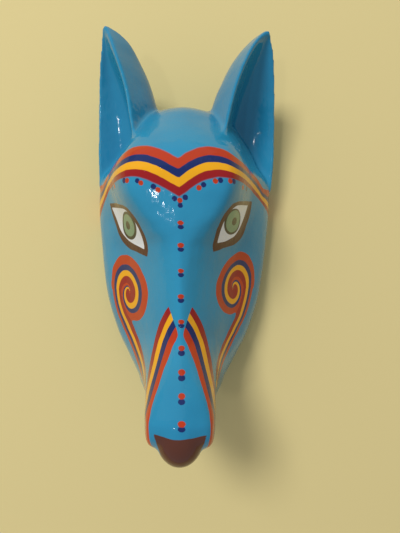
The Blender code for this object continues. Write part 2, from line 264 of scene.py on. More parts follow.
def head_rib(side, y, counts, wall=0.0, ridge_wall=0.0):
    """One side of the head's section at y, from the rim up to the ridge, drawn in by the walls."""
    width = max(float(rounded_curve(HALF_WIDTH[side], y)) - wall, 0.0)
    height = max(float(rounded_curve(RIDGE_HEIGHT, y)) - ridge_wall, 0.0)
    shoulder = min(float(smooth_curve(SHOULDER_HALF_WIDTH, y)), SHOULDER_SHARE * width)
    drop = min(float(smooth_curve(SHOULDER_DROP, y)), DROP_SHARE * height)
    band = min(RIM_BAND, BAND_SHARE * height)
    fullness = float(smooth_curve(FLANK_FULLNESS[side], y)) * min(1.0, width / FULL_HALF_WIDTH)
    flank = ((shoulder + width) / 2 + fullness, (height - drop + band) / 2 + fullness * FULLNESS_RISE)
    past_ridge = (-shoulder, height - drop + 2 * drop * float(smooth_curve(RIDGE_CREASE, y)))
    corners = [(width, 0.0), (width, band), flank, (shoulder, height - drop), (0.0, height), past_ridge]
    return smooth_path(corners, counts)


def head_rows(side):
    """Rows of (x, y, z) points over one side of the head, from the crown's rim to the chin's rim."""
    crown_turn = np.linspace(np.pi / 2, 0, int(CROWN_ARC / FORM_SPACING) + CROWN_MORE_ROWS)
    crown = CROWN_START + (RIDGE_HEIGHT[0][0] - CROWN_START) * np.sin(crown_turn)
    body = np.linspace(CROWN_START, FRONT_START, int((CROWN_START - FRONT_START) / FORM_SPACING) + 1)[1:]
    rows = [at_place(y, head_rib(side, y, HEAD_COUNTS)) for y in np.concatenate([crown, body])]
    last = rows[-1]
    for front_turn in np.linspace(0, np.pi / 2, int(FRONT_ARC / FORM_SPACING) + 2)[1:]:
        row = last * np.cos(front_turn)
        square = smooth_curve(FRONT_SQUARENESS, row[:, 2])
        reach = (1 - np.cos(front_turn) ** square) ** (1 / square)
        row[:, 1] = FRONT_START + (smooth_curve(FRONT_PROFILE, row[:, 2]) - FRONT_START) * reach
        rows.append(row)
    return rows


def hollow_rows(side):
    """Rows of (x, y, z) points over one side of the hollow, from end to end."""
    rows = []
    for turn in np.linspace(np.pi / 2, -np.pi / 2, int(HOLLOW_ARC / FORM_SPACING)):
        y = HOLLOW_CENTRE + HOLLOW_REACH * np.sin(turn)
        outside = HOLLOW_CENTRE + (y - HOLLOW_CENTRE) / HOLLOW_SHRINK
        half = head_rib(side, outside, HOLLOW_COUNTS, WALL, RIDGE_WALL)
        flattening = 1 + (half[:, 1] / HOLLOW_HEIGHT) ** HOLLOW_ROOF_SQUARENESS
        half[:, 1] *= flattening ** (-1 / HOLLOW_ROOF_SQUARENESS)
        closing = np.sqrt(1 - abs(np.sin(turn)) ** HOLLOW_END_SQUARENESS)
        rows.append(at_place(y, half * closing))
    return rows


def two_sided(rows_of_side):
    """Closed sections from the rows of both sides, with walls down past the rim plane."""
    sections = []
    for left, right in zip(rows_of_side(-1), rows_of_side(1)):
        left = np.vstack([left[0] * (1, 1, 0) - (0, 0, BELOW_RIM), left]) * (-1, 1, 1)
        right = np.vstack([right[0] * (1, 1, 0) - (0, 0, BELOW_RIM), right])
        sections.append(np.vstack([right, left[-2::-1]]))
    return sections


def ear_edges(side, y):
    """The two edges of an ear's open side at y, its crest and its outer edge, as (x, z)."""
    crest = (float(smooth_curve(CREST_X[side], y)), float(smooth_curve(CREST_Z, y)))
    edge_height = float(smooth_curve(FLOOR_Z[side], y) + smooth_curve(EDGE_RISE[side], y))
    outer = (float(smooth_curve(EAR_OUTER_X[side], y)), edge_height)
    return np.array(crest), np.array(outer)


def ear_sections(side):
    """One ear, solid, running down into the head; its open side is flat until it is scooped."""
    sections = []
    end = EAR_END[side]
    tip = end - EAR_TIP * (1 - np.sin(np.linspace(0, np.pi / 2, int(EAR_TIP_ARC / FORM_SPACING) + 2)))
    for y in np.append(np.arange(EAR_START, end - EAR_TIP - FORM_SPACING / 2, FORM_SPACING), tip):
        crest, outer = ear_edges(side, y)
        inner = (float(smooth_curve(EAR_INNER_X[side], y)), float(smooth_curve(EAR_INNER_Z, y)))
        keel = (EAR_KEEL_X, float(smooth_curve(EAR_KEEL_Z, y)))
        back = smooth_path([crest, inner, keel, outer], EAR_COUNTS)
        back[:, 1] = np.maximum(back[:, 1], -BELOW_RIM)
        sections.append(at_place(y, back * (side, 1)))
    return sections


def scoop_sections(side):
    """What the gouge takes out of an ear's open side: a steep wall beside the crest, then a long floor."""
    sections = []
    for y in np.arange(EAR_START - FORM_SPACING, SCOOP_END[side] + FORM_SPACING / 2, FORM_SPACING):
        crest, outer = ear_edges(side, y)
        floor_height = float(smooth_curve(FLOOR_Z[side], y))
        near = crest + (SCOOP_LIP, 0.0)
        far = outer - (EAR_EDGE, 0.0)
        run = min(float(smooth_curve(SCOOP_WALL_RUN, y)), (far[0] - near[0]) / 2)
        foot = np.array([near[0] + run, floor_height + SCOOP_FOOT_RISE])
        belly = foot + (far - foot) * SCOOP_BELLY_PLACE
        belly[1] = floor_height - float(smooth_curve(SCOOP_BELLY_DROP, y))
        floor = smooth_path([near, foot, belly, far], SCOOP_COUNTS)
        lid = [far + (SCOOP_OVERHANG, SCOOP_LID), near + (0.0, SCOOP_LID)]
        sections.append(at_place(y, np.vstack([floor, lid]) * (side, 1)))
    return sections


def mouth_sections():
    """A wedge that follows the snout round below the upper lip, and dies out at its corners."""
    sections = []
    for turn in np.linspace(-1, 1, MOUTH_COUNT):
        across = np.sin(turn * MOUTH_TURN)
        forward = np.cos(turn * MOUTH_TURN)
        place = np.array([across * MOUTH_HALF_WIDTH, MOUTH_BACK - forward * MOUTH_LENGTH, MOUTH_HEIGHT])
        outward = np.array([across, -forward, 0.0])
        opening = np.array([0.0, 0.0, MOUTH_HALF_OPENING])
        bottom = place - outward * MOUTH_DEPTH * (1 - MOUTH_SHALLOWING * turn * turn)
        lip = place + outward * MOUTH_OUTREACH
        sections.append(np.array([bottom, lip + opening, lip - opening]))
    return sections


def nose_sections():
    """The nose pad: a rounded lobe at the end of the snout."""
    sections = []
    around = np.linspace(0, 2 * np.pi, NOSE_SEGMENTS, endpoint=False)
    for along in np.linspace(0, np.pi, NOSE_RINGS):
        ring = np.column_stack([np.sin(along) * np.cos(around), np.full(NOSE_SEGMENTS, -np.cos(along)),
                                np.sin(along) * np.sin(around)])
        sections.append(ring * NOSE_RADII + NOSE_CENTRE)
    return sections


class Block:
    """The carving as distances to its surface, on a grid of cells; forms are added and cut out."""

    def __init__(self, low, high):
        self.low = np.floor(np.array(low) / CELL).astype(int)
        self.shape = tuple(np.ceil(np.array(high) / CELL).astype(int) - self.low + 1)
        self.field = np.full(self.shape, BAND_CELLS * CELL, dtype=np.float32)

    def distances(self, sections):
        """Distances to the closed form skinned over the sections, negative inside it."""
        sections = [np.repeat([sections[0].mean(0)], len(sections[0]), axis=0), *sections,
                    np.repeat([sections[-1].mean(0)], len(sections[0]), axis=0)]
        points = np.vstack(sections)
        points[:, 0] += lean_at(points)
        count = len(sections[0])
        start = np.arange(len(sections) - 1)[:, None] * count
        this = start + np.arange(count)
        following = start + (np.arange(count) + 1) % count
        quads = np.stack([this, following, following + count, this + count], axis=-1).reshape(-1, 4)
        form = openvdb.FloatGrid.createLevelSetFromPolygons(
            points.astype(np.float32), quads=quads.astype(np.uint32),
            transform=openvdb.createLinearTransform(voxelSize=CELL), halfWidth=BAND_CELLS)
        field = np.empty(self.shape, dtype=np.float32)
        form.copyToArray(field, ijk=tuple(int(i) for i in self.low))
        return field

    def add(self, form, fillet):
        """Joins a form on, with a concave fillet where it meets the block."""
        self.field = blended_minimum(self.field, form, fillet)

    def cut(self, form, fillet):
        """Cuts a form out, with its edges rounded a little."""
        self.field = cut_from(self.field, form, fillet)

    def trim_below(self, height):
        """Cuts away everything below a height."""
        z = (np.arange(self.shape[2]) + self.low[2]) * CELL
        self.field = np.maximum(self.field, (height - z).astype(np.float32))

    def soften(self, times):
        """Averages each cell with its neighbours, which rounds sharp edges a little."""
        for _ in range(times):
            for axis in range(3):
                sides = np.roll(self.field, 1, axis) + np.roll(self.field, -1, axis)
                self.field = self.field / 2 + sides / 4

    def surface(self):
        """The points of the block's surface, and its four-sided faces."""
        grid = openvdb.FloatGrid(BAND_CELLS * CELL)
        grid.transform = openvdb.createLinearTransform(voxelSize=CELL)
        grid.copyFromArray(self.field, ijk=tuple(int(i) for i in self.low))
        points, _, quads = grid.convertToPolygons(isovalue=0, adaptivity=0)
        return points.astype(float), quads.astype(int)

    def read(self, field, points):
        """A field's values at points, blended between the grid's cells."""
        places = points / CELL - self.low
        corner = np.clip(np.floor(places).astype(int), 0, np.array(self.shape) - 2)
        part = places - corner
        value = np.zeros(len(points))
        for step in np.ndindex(2, 2, 2):
            weight = np.prod(np.where(step, part, 1 - part), axis=1)
            value += weight * field[tuple((corner + step).T)]
        return value

    def normals(self, points):
        """The directions straight out of the surface at points."""
        slopes = [self.read(self.field, points + step) - self.read(self.field, points - step)
                  for step in np.eye(3) * CELL / 2]
        return np.column_stack(slopes) / np.linalg.norm(slopes, axis=0)[:, None]


def blended_minimum(a, b, radius):
    """The smaller of two fields, with a fillet of about the radius where they cross."""
    near = np.maximum(radius - np.abs(a - b), 0) / radius
    return np.minimum(a, b) - near * near * radius / 4


def cut_from(form, cutter, fillet):
    """What is left of one form's field when another is cut out of it."""
    return -blended_minimum(-form, cutter, fillet)


# The paint. A place on the mask is (across, along): along is the place along the mask, and across is the
# straight distance from the ridge at that place, which is positive towards +X. Tables of one side, and
# those that both sides share, give across as positive.
FIELD_REACH = 30.0  # paint fields go no further from what they draw
FAR_FROM_DOTS = 40.0

# The brow stripes: their upper and lower edges as (across, along) pairs, and where the colours change.
BROW_TOP = {
    -1: ((0, 80.8), (3, 82.5), (10.8, 87.1), (18.9, 90.8), (25, 92.4), (31.5, 93), (36, 92.6), (45.7, 89.1),
         (53, 86.7), (68, 85.5), (82, 84), (96, 81), (105, 78), (114, 76), (124, 76.8), (140, 77)),
    1: ((0, 81.3), (4.4, 85.2), (8.1, 87.5), (15.7, 91.1), (23.5, 92.8), (29.5, 92.3), (35.7, 91),
        (44.9, 86.9), (51.3, 85.5), (60.8, 84.6), (75, 84), (90.6, 82.8), (104.2, 78.9), (113.4, 75.4),
        (122.2, 76), (140, 78)),
}
BROW_BOTTOM = {
    -1: ((0, 52), (3.2, 53.6), (10.6, 57.9), (18.1, 61.7), (25.6, 64.7), (37.5, 67), (61.4, 67), (88, 66.4),
         (99.5, 63.1), (106, 60.4), (113, 57), (123, 51.5), (140, 43)),
    1: ((0, 52.1), (4.3, 55), (8, 58), (15.6, 63), (23.1, 66.1), (30.8, 67.5), (43.5, 67.4), (61.4, 68.1),
        (78.8, 68.4), (95.2, 66.2), (108.8, 62.9), (123.1, 58.3), (140, 52)),
}
BROW_CHANGES = (0.3, 0.525, 0.77)
BARE_OF_BROW = 0.9  # how far off the head's own form, onto an ear, the stripes stop

# The dots: red and navy pairs under the brow, three navy round a red between the brows, pairs on the ridge.
RED_BROW_DOTS = (
    (-15.9, 56.9), (-28.9, 62.1), (-40.3, 64.4), (-64.7, 65), (14.8, 59), (27.3, 64.5), (39.1, 65.4),
    (57.4, 64.8), (0.3, 49.4),
)
NAVY_BROW_DOTS = (
    (-19.3, 59.3), (-31.6, 63.7), (-43.5, 64.9), (-74, 65.4), (18.3, 61.3), (31.1, 65.2), (42.5, 65.7),
    (67.7, 66), (-3.7, 50.7), (4.4, 51.6), (0.6, 45.8),
)
RIDGE_PAIRS = (32.9, 16.1, -3.3, -23, -42.7, -62.1, -76.5, -89.3, -104.3)
RIDGE_PAIR_STEP = 3.1
RIDGE_PAIR_BESIDE = ((40, 0.6), (-50, 0.7), (-80, 0.9), (-104, 1.3))
RIDGE_DOT_WIDTH = 1.24  # the ridge dots' size across and along the mask, as parts of a round dot's
RIDGE_DOT_LENGTH = 0.88
DOT_RADIUS = 2.1

# The eyes: the inner and the outer corner of each, then the edges of the lids and of the white, as
# (part of the way from the inner to the outer corner, height over the line of the corners) pairs. Heights
# are parts of the eye's length, and only the lower edge of the white differs from side to side.
EYE_CORNERS = {-1: ((37.7, 7.3), (94.3, 56)), 1: ((34.7, 12.3), (89.9, 59.6))}
UPPER_LID = (
    (-0.1, -0.3), (0, 0), (0.015, 0.058), (0.05, 0.11), (0.12, 0.205), (0.175, 0.245), (0.23, 0.28),
    (0.31, 0.303), (0.42, 0.307), (0.5, 0.288), (0.61, 0.236), (0.84, 0.106), (1, 0), (1.1, -0.07),
)
LOWER_LID = (
    (-0.1, 0.05), (0, 0), (0.1, -0.053), (0.21, -0.106), (0.325, -0.172), (0.44, -0.225), (0.565, -0.247),
    (0.65, -0.23), (0.74, -0.192), (0.83, -0.15), (0.9, -0.1), (1, 0), (1.1, 0.12),
)
UPPER_WHITE = (
    (0, -0.3), (0.085, 0), (0.095, 0.035), (0.135, 0.097), (0.17, 0.148), (0.255, 0.223), (0.36, 0.253),
    (0.42, 0.26), (0.5, 0.245), (0.6, 0.195), (0.715, 0.125), (0.85, 0.04), (0.94, -0.02), (1.1, -0.12),
)
LOWER_WHITE = {
    -1: ((0, 0.07), (0.14, 0.009), (0.23, -0.034), (0.35, -0.091), (0.47, -0.133), (0.59, -0.146),
         (0.67, -0.136), (0.74, -0.108), (0.81, -0.07), (0.88, -0.035), (0.93, -0.014), (1.1, 0.06)),
    1: ((0, 0.1), (0.15, 0.018), (0.24, -0.036), (0.35, -0.08), (0.46, -0.112), (0.56, -0.104),
        (0.64, -0.082), (0.72, -0.043), (0.79, 0.004), (0.85, 0.037), (1.1, 0.2)),
}

# The irises: centres, and two (across, along) half-axes each. The green inside the dark ring and the
# pupil are parts of that size, a little off the centre.
IRIS_CENTRES = {-1: (59.1, 33.3), 1: (54, 37.7)}
IRIS_ACROSS = {-1: (15.8, 1.3), 1: (15.6, 1.8)}
IRIS_UP = {-1: (-4.7, 10.9), 1: (-2.9, 9.9)}
IRIS_RING = {-1: 0.79, 1: 0.85}
RING_SHIFT = (0.4, 0.4)
PUPIL = 0.315
PUPIL_SHIFT = (1.9, 0.7)

# The spirals on the cheeks: one ribbon that runs up its tail, over the top and in to the curl. The curl's
# outer edge is (turns from the outer side, distance from its centre) pairs, the tail's are (along, across).
SPIRAL_CENTRES = {-1: (75.4, -23.9), 1: (73.9, -19.3)}
SPIRAL_REACH = {
    -1: ((0, 31.5), (0.06, 33.8), (0.115, 35.6), (0.167, 35.8), (0.227, 34), (0.315, 31.6), (0.392, 32.4),
         (0.448, 35), (0.495, 35.9), (0.538, 34.6), (0.6, 31.7), (0.7, 26.8), (0.765, 25.3), (0.875, 20.2),
         (1, 14.2), (1.125, 9.8), (1.25, 6.6), (1.4, 3.4), (1.52, 1.6), (1.7, 0.4), (3, 0)),
    1: ((0, 33), (0.035, 35), (0.065, 37.3), (0.11, 38.1), (0.148, 37.9), (0.211, 35.1), (0.278, 30.3),
        (0.351, 28.7), (0.42, 30), (0.474, 31.5), (0.508, 31.4), (0.557, 29.5), (0.621, 26.5),
        (0.695, 23.9), (0.757, 22.8), (0.875, 19.5), (1, 16), (1.155, 12.6), (1.35, 8), (1.5, 3.5),
        (1.7, 0.6), (3, 0)),
}
TAIL_OUTER = {
    -1: ((-14, 106.2), (-26, 106.6), (-35.6, 105), (-45.3, 103), (-54.6, 99.8), (-63.5, 98.3),
         (-72.2, 99.8), (-80.6, 102.5), (-90, 104.5), (-104.6, 105), (-124, 104)),
    1: ((-10, 108.1), (-21.3, 106.6), (-31, 104.6), (-40.6, 101.4), (-50, 97.5), (-59.2, 93.4),
        (-67.7, 92.6), (-76, 93), (-83.6, 91.9), (-90.7, 89.8), (-104, 85), (-124, 75)),
}
TAIL_INNER = {
    -1: ((-14, 90.5), (-24.9, 89.2), (-34.2, 87.6), (-43.2, 82.8), (-49.6, 77.9), (-56, 74.2), (-62, 72.7),
         (-68, 71.3), (-75.3, 70), (-81.8, 66.5), (-88, 60), (-100, 57), (-124, 57)),
    1: ((-10, 89.6), (-20.8, 89.1), (-30, 86.4), (-38, 83.2), (-45, 80.2), (-51, 76.7), (-57, 73.7),
        (-65.1, 70.8), (-72.3, 67.4), (-78.6, 62.6), (-86, 57.6), (-100, 57), (-124, 57)),
}
TAIL_END = -122.0
TAIL_OVERLAP = 6.0
LEAST_RIBBON = 0.5  # the least width of the ribbon in the curl
RIDGE_MARGIN = 1.0  # no ribbon is this close to the ridge

# Where the ribbon's colours change, as parts of its width: a row of SPIRAL_CHANGES for each change, with a
# value at each of SPIRAL_TURNS, and TAIL_CHANGES from TAIL_CHANGE_RUN down the tail. evened() moves them
# to RIBBON_CHANGES, where the shader has them.
RIBBON_CHANGES = (0.32, 0.52, 0.72)
TAIL_CHANGE_RUN = 25.0
SPIRAL_TURNS = (0, 0.2, 0.5, 0.72)
SPIRAL_CHANGES = ((0.25, 0.333, 0.318, 0.26), (0.49, 0.535, 0.51, 0.41), (0.75, 0.73, 0.68, 0.61))
TAIL_CHANGES = (0.2, 0.42, 0.66)

# The stripes down the snout: the outer edges of the dark red, yellow, navy and orange as (along, across)
# pairs, the line that their inner ends are cut to, and where they end at the front.
CHEVRON_EDGES = (
    ((-20, 1), (-31.2, 11), (-34.5, 14.3), (-43, 21.3), (-51.8, 27.2), (-60.3, 31.9), (-67.9, 36.9),
     (-75.3, 41.2), (-82, 43.6), (-88.4, 46), (-100, 50), (-118, 53), (-130, 50)),
    ((-20, -6), (-30, 3), (-38, 10.2), (-42.3, 13.6), (-46.5, 16.6), (-55, 22), (-63.2, 27.2),
     (-70.4, 31), (-80, 34.4), (-86.4, 37), (-93.4, 41), (-105, 45), (-118, 46),
     (-130, 43)),
    ((-20, -14), (-32, -3), (-41.6, 6.6), (-45.8, 10.2), (-50, 13.5), (-54.4, 16.2),
     (-62.2, 20.3), (-69, 23.5), (-78.5, 26.5), (-84.4, 28.2), (-90.7, 30.6), (-96.6, 32.2),
     (-110, 36), (-130, 36)),
    ((-20, -28), (-32, -13), (-43, 0.5), (-49.3, 6.2), (-53.4, 9.1), (-57.5, 11.7), (-61.3, 13.7),
     (-68.1, 17), (-77.4, 20.3), (-83, 21.6), (-88.7, 23.1), (-94.6, 25), (-104.1, 28.6),
     (-118, 30), (-130, 29)),
)
CHEVRON_CUT = (
    (-20, 18), (-32, 11.2), (-37.6, 8.2), (-41.5, 6.6), (-45.4, 4.9), (-48.9, 3.2), (-52.8, 2.2),
    (-56.7, 3.6), (-60.5, 5.9), (-63.9, 7.9), (-70.3, 11.2), (-76.4, 14.1), (-82, 15.9), (-87.6, 17.8),
    (-93.2, 19.9), (-101.5, 21.8), (-110.2, 22.4), (-117.4, 22.6), (-130, 26),
)
CHEVRON_END = -126.0

# The painted nose: its back edge, its width, which narrows to the front, and its lower edge.
NOSE_BACK = -112.2
NOSE_BACK_CURVE = 1.7
NOSE_HALF_WIDTH = 18.0
NOSE_NARROWING = 0.27
NOSE_UNDERSIDE = 139.0
NOSE_ACROSS = 0.5  # how far it sits to +X


def distance_from(dots, across, along):
    """The distance from each place to the nearest dot."""
    nearest = np.full(len(across), FAR_FROM_DOTS)
    for at_across, at_along in dots:
        nearest = np.minimum(nearest, np.hypot(across - at_across, along - at_along))
    return nearest


def stripe_place(value, edges):
    """Where a value lies among falling edges: 0 at the first, 1 at the second, and on past the last."""
    place = (edges[0] - value) / (edges[0] - edges[1])
    for number in range(1, len(edges)):
        width = edges[number] - edges[min(number + 1, len(edges) - 1)]
        width = np.where(width > 0, width, edges[number - 1] - edges[number])
        place = np.where(value < edges[number], number + (edges[number] - value) / width, place)
    return place


def brow_paint(across, along):
    """Where a place lies between the top of the brow stripes, 0, and the bottom, 1."""
    brow = along * 0
    for side in (-1, 1):
        here = across * side >= 0
        top = smooth_curve(BROW_TOP[side], abs(across[here]))
        bottom = smooth_curve(BROW_BOTTOM[side], abs(across[here]))
        brow[here] = (top - along[here]) / (top - bottom)
    return {"brow": brow}


def dot_paint(across, along, beside):
    """Distances to the red and to the navy dots; beside is the plain distance beside the ridge."""
    beside = (beside - smooth_curve(RIDGE_PAIR_BESIDE, along)) / RIDGE_DOT_WIDTH
    fields = {}
    dots = (("red_dot", RED_BROW_DOTS, 0.0), ("navy_dot", NAVY_BROW_DOTS, RIDGE_PAIR_STEP))
    for name, brow_dots, step in dots:
        ridge_dots = [(0.0, (place - step) / RIDGE_DOT_LENGTH) for place in RIDGE_PAIRS]
        on_ridge = distance_from(ridge_dots, beside, along / RIDGE_DOT_LENGTH)
        fields[name] = np.minimum(distance_from(brow_dots, across, along), on_ridge)
    return fields


def evened(place, changes):
    """A place across the ribbon, moved so that its colours change at RIBBON_CHANGES instead of at changes."""
    given = (0.0, *changes, 1.0)
    wanted = (0.0, *RIBBON_CHANGES, 1.0)
    result = place * 0
    for number in range(len(given) - 1):
        share = np.clip((place - given[number]) / (given[number + 1] - given[number]), 0.0, 1.0)
        result = result + share * (wanted[number + 1] - wanted[number])
    return result


def spiral_side(side, across, along):
    """One side's ribbon: the distance outside it, and the place across it that gives its colour."""
    centre = SPIRAL_CENTRES[side]
    reach = SPIRAL_REACH[side]
    out = np.hypot(across - centre[0], along - centre[1])
    turn = (np.arctan2(along - centre[1], across - centre[0]) / (2 * np.pi)) % 1.0
    outer = smooth_curve(reach, turn)
    disc = out - outer
    shade = turn * 0
    for lap in (0, 1):
        edge = smooth_curve(reach, turn + lap)
        following = smooth_curve(reach, turn + lap + 1)
        place = (edge - out) / np.maximum(edge - following, LEAST_RIBBON)
        changes = [np.interp(turn + lap, SPIRAL_TURNS, row) for row in SPIRAL_CHANGES]
        shade = np.where(out <= edge, evened(place, changes), shade)
    tail_outer = smooth_curve(TAIL_OUTER[side], along)
    tail_inner = smooth_curve(TAIL_INNER[side], along)
    tail = np.maximum.reduce([across - tail_outer, tail_inner - across, along - centre[1] - TAIL_OVERLAP,
                              TAIL_END - along])
    on_tail = (along < centre[1]) & (across > tail_inner)
    share = np.clip((centre[1] - along) / TAIL_CHANGE_RUN, 0.0, 1.0)
    place = np.clip((tail_outer - across) / (tail_outer - tail_inner), 0.0, 1.0)
    changes = [row[0] + share * (change - row[0]) for row, change in zip(SPIRAL_CHANGES, TAIL_CHANGES)]
    shade = np.where(on_tail, evened(place, changes), shade)
    return blended_minimum(disc, tail, TAIL_OVERLAP), shade


def spiral_paint(across, along):
    """The ribbons of both sides: bare ground is above zero, and the colour's place is kept as two waves."""
    ground = np.zeros(len(across))
    shade = np.zeros(len(across))
    for side in (-1, 1):
        here = across * side > 0
        ground[here], shade[here] = spiral_side(side, abs(across[here]), along[here])
    ground = np.where(abs(across) < RIDGE_MARGIN, FIELD_REACH, ground)
    wave = 2 * np.pi * shade
    return {"ribbon": ground, "ribbon_cos": np.cos(wave), "ribbon_sin": np.sin(wave)}


def chevron_paint(across, along):
    """Where a place lies among the snout's stripes, and how far it is outside the line they are cut to."""
    edges = [smooth_curve(edge, along) for edge in CHEVRON_EDGES]
    cut = np.maximum(smooth_curve(CHEVRON_CUT, along) - abs(across), CHEVRON_END - along)
    return {"chevron": stripe_place(abs(across), edges), "chevron_cut": cut}


def beyond_edges(way, height, upper, lower):
    """How far a place is above the upper edge or under the lower one; between them it is below zero."""
    return np.maximum(height - smooth_curve(upper, way), smooth_curve(lower, way) - height)


def eye_side(side, across, along):
    """One eye: distances outside the lids and the white, and radii in the iris, its ring and the pupil."""
    inner, outer = np.array(EYE_CORNERS[side])
    length = np.linalg.norm(outer - inner)
    run = (outer - inner) / length
    rise = np.array([-run[1], run[0]])
    place = np.column_stack([across, along]) - inner
    way = place @ run / length
    height = place @ rise / length
    lid = beyond_edges(way, height, UPPER_LID, LOWER_LID) * length
    white = beyond_edges(way, height, UPPER_WHITE, LOWER_WHITE[side]) * length
    axes = np.linalg.inv(np.column_stack([IRIS_ACROSS[side], IRIS_UP[side]]))
    radii = {}
    for name, shift, size in (("iris", (0, 0), 1.0), ("iris_green", RING_SHIFT, IRIS_RING[side]),
                              ("pupil", PUPIL_SHIFT, PUPIL)):
        offset = np.column_stack([across, along]) - IRIS_CENTRES[side] - np.array(shift)
        radii[name] = np.linalg.norm(offset @ axes.T, axis=1) / size
    return {"lid": lid, "white": white, **radii}


def eye_paint(across, along):
    """Both eyes."""
    left = eye_side(-1, -across, along)
    right = eye_side(1, across, along)
    both = {name: np.where(across < 0, left[name], right[name]) for name in left}
    return {name: np.clip(values, -FIELD_REACH, FIELD_REACH) for name, values in both.items()}


def nose_paint(points):
    """The distance outside the painted nose."""
    across = points[:, 0] - lean_at(points) - NOSE_ACROSS
    along = points[:, 1]
    back = NOSE_BACK - NOSE_BACK_CURVE * (1 - (across / NOSE_HALF_WIDTH) ** 2)
    half_width = NOSE_HALF_WIDTH + NOSE_NARROWING * (along - NOSE_BACK)
    below = NOSE_UNDERSIDE - points[:, 2]
    return {"nose": np.maximum.reduce([along - back, abs(across) - half_width, below])}


def paint_fields(points):
    """Every field that the paint is drawn from, at the points."""
    beside = points[:, 0] - lean_at(points)
    along = points[:, 1]
    ridge = rounded_curve(RIDGE_HEIGHT, along)
    across = np.copysign(np.hypot(beside, ridge - points[:, 2]), beside)
    return {
        **brow_paint(across, along),
        **dot_paint(across, along, beside),
        **spiral_paint(across, along),
        **chevron_paint(across, along),
        **eye_paint(across, along),
        **nose_paint(points),
    }


def carve_block():
    """The whole carving as a block, with the separate fields of its head, mouth and hollow."""
    block = Block(np.array(BLOCK_LOW) - GRID_MARGIN, np.array(BLOCK_HIGH) + GRID_MARGIN)
    head = block.distances(two_sided(head_rows))
    block.field = head.copy()
    block.add(block.distances(nose_sections()), NOSE_FILLET)
    for side in (-1, 1):
        ear = block.distances(ear_sections(side))
        scoop = block.distances(scoop_sections(side))
        block.add(cut_from(ear, scoop, CUT_FILLET), EAR_FILLET)
    mouth = block.distances(mouth_sections())
    block.cut(mouth, CUT_FILLET)
    hollow = block.distances(two_sided(hollow_rows))
    block.cut(hollow, CUT_FILLET)
    block.soften(SOFTENINGS)
    block.trim_below(0.0)
    return block, {"head": head, "mouth": mouth, "hollow": hollow}


def eased(points, quads):
    """The points drawn towards their neighbours and back again, which evens out the steps of the cells."""
    ends = np.concatenate([quads[:, [corner, (corner + 1) % 4]] for corner in range(4)])
    count = np.bincount(ends[:, 0], minlength=len(points))[:, None]
    for amount in (EASING_IN, EASING_BACK) * EASINGS:
        total = [np.bincount(ends[:, 0], points[ends[:, 1], axis], len(points)) for axis in range(3)]
        points = points + amount * (np.column_stack(total) / count - points)
    points[:, 2] = np.maximum(points[:, 2], 0.0)
    return points


def new_object(name, data):
    """A new object, linked into the scene."""
    made = bpy.data.objects.new(name, data)
    bpy.context.collection.objects.link(made)
    return made


def carving_object():
    """The carved and painted mask as one mesh object."""
    block, forms = carve_block()
    points, quads = block.surface()
    points = eased(points, quads)
    mesh = bpy.data.meshes.new(PIECE)
    mesh.from_pydata(((points - ORIGIN) * MM).tolist(), [], quads.tolist())
    mesh.shade_smooth()
    mesh.normals_split_custom_set_from_vertices(block.normals(points).tolist())
    fields = paint_fields(points)
    for name, form in forms.items():
        fields[name] = block.read(form, points)
    fields["rim"] = points[:, 2]
    for name, values in fields.items():
        layer = mesh.attributes.new(name, "FLOAT", "POINT")
        layer.data.foreach_set("value", values.astype(np.float32))
    return new_object(PIECE, mesh)


class Nodes:
    """The shader nodes of one material, made and joined by short calls."""

    def __init__(self, name):
        self.material = bpy.data.materials.new(name)
        self.material.use_nodes = True
        self.tree = self.material.node_tree
        self.tree.nodes.clear()

    def node(self, kind, inputs=None, **settings):
        """A node with its settings and inputs; an input is a number, a colour or another node's socket."""
        made = self.tree.nodes.new("ShaderNode" + kind)
        for name, value in settings.items():
            setattr(made, name, value)
        for name, value in (inputs or {}).items():
            if isinstance(value, bpy.types.NodeSocket):
                self.tree.links.new(value, made.inputs[name])
            else:
                made.inputs[name].default_value = value
        return made

    def field(self, name):
        """One of the mesh's paint fields."""
        return self.node("Attribute", attribute_name=name).outputs["Fac"]

    def maths(self, operation, first, second=0.0, third=0.0):
        """A sum or function of one, two or three values."""
        return self.node("Math", {0: first, 1: second, 2: third}, operation=operation).outputs[0]

    def ramp(self, value, start, end, low=0.0, high=1.0):
        """low where value is at start, high where it is at end, and smooth between."""
        inputs = {"Value": value, "From Min": start, "From Max": end, "To Min": low, "To Max": high}
        return self.node("MapRange", inputs, interpolation_type="SMOOTHSTEP").outputs["Result"]

    def below(self, value, edge, softness):
        """1 where value is below edge, 0 where it is above."""
        return self.ramp(value, edge - softness, edge + softness, 1.0, 0.0)

    def mix(self, amount, under, over):
        """One colour painted over another."""
        made = self.node("Mix", {"Factor": amount}, data_type="RGBA")
        for socket, value in ((made.inputs[6], under), (made.inputs[7], over)):
            if isinstance(value, bpy.types.NodeSocket):
                self.tree.links.new(value, socket)
            else:
                socket.default_value = (*value, 1.0)
        return made.outputs[2]

    def stretched_place(self, stretch):
        """The place on the object, for patterns drawn out along axes whose stretch is small."""
        place = self.node("TexCoord").outputs["Object"]
        return self.node("Mapping", {"Vector": place, "Scale": stretch}).outputs["Vector"]

    def noise(self, scale, detail=2, stretch=(1, 1, 1), roughness=0.5):
        """Noise in patches of about 1/scale metres."""
        place = self.stretched_place(stretch)
        inputs = {"Vector": place, "Scale": scale, "Detail": detail, "Roughness": roughness}
        return self.node("TexNoise", inputs).outputs["Fac"]

    def bump(self, height, strength, distance, normal=None):
        """The surface's normal raised by a height."""
        inputs = {"Height": height, "Strength": strength, "Distance": distance}
        if normal is not None:
            inputs["Normal"] = normal
        return self.node("Bump", inputs).outputs["Normal"]


